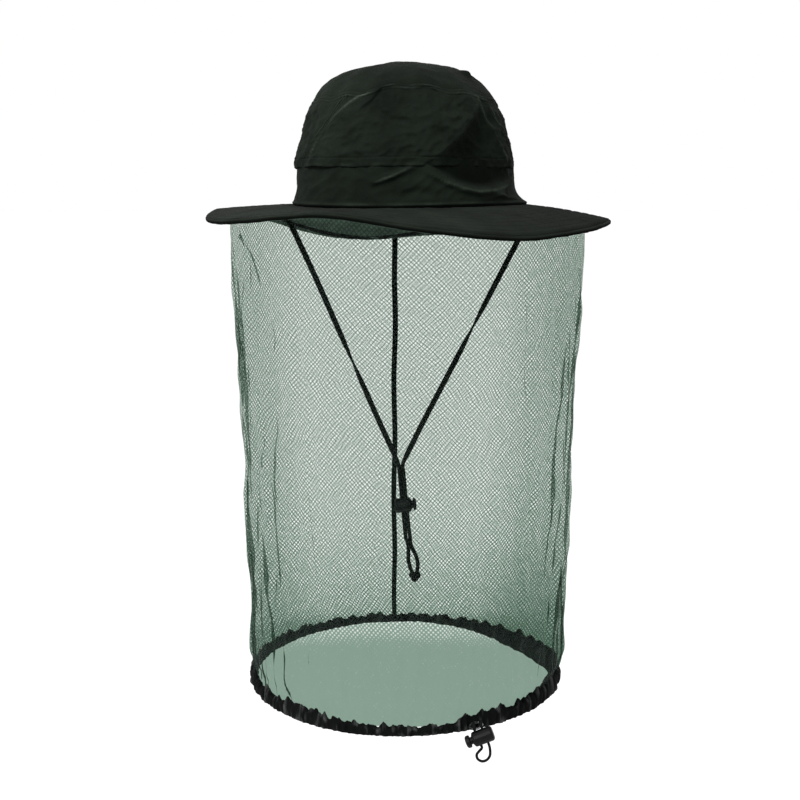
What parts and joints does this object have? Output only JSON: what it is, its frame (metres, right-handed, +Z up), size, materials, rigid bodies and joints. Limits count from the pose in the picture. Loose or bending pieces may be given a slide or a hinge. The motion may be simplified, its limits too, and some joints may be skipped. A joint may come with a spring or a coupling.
{
  "type": "beekeeping hat veil",
  "caption": "Brimmed cloth sun hat with a net tube hanging from its brim to a gathered drawcord hem, and a chin cord with a cord lock.",
  "frame": {"origin": "centre of the head opening, in the plane where the crown meets the brim", "axes": "+Z up through the crown, the wearer looks along -Y, +X to the viewer's right when the veil is seen from its front"},
  "size_m": [0.3164, 0.3516, 0.5103],
  "materials": {
    "crown_cloth": "plain woven cotton twill, very dark green",
    "brim_cloth": "plain woven cotton twill, dark green, rows of stitching",
    "lining_cloth": "soft woven lining",
    "netting": "fine green knitted netting, see-through",
    "black_tape": "black woven tape",
    "elastic_cord": "black round braided elastic",
    "braided_cord": "black flat braided cord",
    "lock_plastic": "black moulded plastic, satin",
    "spring_steel": "bright spring wire",
    "eyelet_metal": "black painted metal, worn at the rim"
  },
  "bodies": {
    "hat": {"crown_top_panel": "crown_cloth", "crown_front_panel": "crown_cloth", "crown_back_panel": "crown_cloth", "crown_left_panel": "crown_cloth", "crown_right_panel": "crown_cloth", "hat_band": "crown_cloth", "sweatband": "lining_cloth", "brim_upper_ply": "brim_cloth", "brim_interlining": "lining_cloth", "brim_lower_ply": "brim_cloth", "brim_edge_binding": "brim_cloth", "net": "netting", "net_top_binding": "black_tape", "net_back_seam_tape": "black_tape", "chin_cord_tab_left": "brim_cloth", "chin_cord_tab_right": "brim_cloth", "chin_cord_left": "braided_cord", "chin_cord_right": "braided_cord", "chin_cord_end_knot": "braided_cord"},
    "hem": {"hem_casing": "black_tape", "hem_cord_eyelet": "eyelet_metal", "hem_drawcord": "elastic_cord", "hem_cord_loop": "elastic_cord"},
    "chin_lock": {"chin_lock_barrel": "lock_plastic"},
    "chin_button": {"chin_lock_plunger": "lock_plastic", "chin_lock_spring": "spring_steel"},
    "hem_lock": {"hem_lock_barrel": "lock_plastic"},
    "hem_button": {"hem_lock_plunger": "lock_plastic", "hem_lock_spring": "spring_steel"}
  },
  "joints": [
    {"name": "net_lift", "type": "slide", "parent": "hat", "child": "hem", "axis": [0, 0, 1], "range_m": [0, 0.27], "deforming": ["net", "net_back_seam_tape"]},
    {"name": "chin_lock_slide", "type": "slide", "parent": "hat", "child": "chin_lock", "axis": [-0.0941, 0, 0.9956], "range_m": [-0.015, 0.02]},
    {"name": "chin_lock_press", "type": "slide", "parent": "chin_lock", "child": "chin_button", "axis": [-0.9956, 0, -0.0941], "range_m": [0, 0.0016], "stiffness_N_per_m": 900, "springref_m": -0.002, "deforming": ["chin_lock_spring"]},
    {"name": "hem_lock_slide", "type": "slide", "parent": "hem", "child": "hem_lock", "axis": [0.3746, 0, -0.9272], "range_m": [0, 0.002]},
    {"name": "hem_lock_press", "type": "slide", "parent": "hem_lock", "child": "hem_button", "axis": [0.9272, 0, 0.3746], "range_m": [0, 0.002], "stiffness_N_per_m": 900, "springref_m": -0.002, "deforming": ["hem_lock_spring"]}
  ]
}
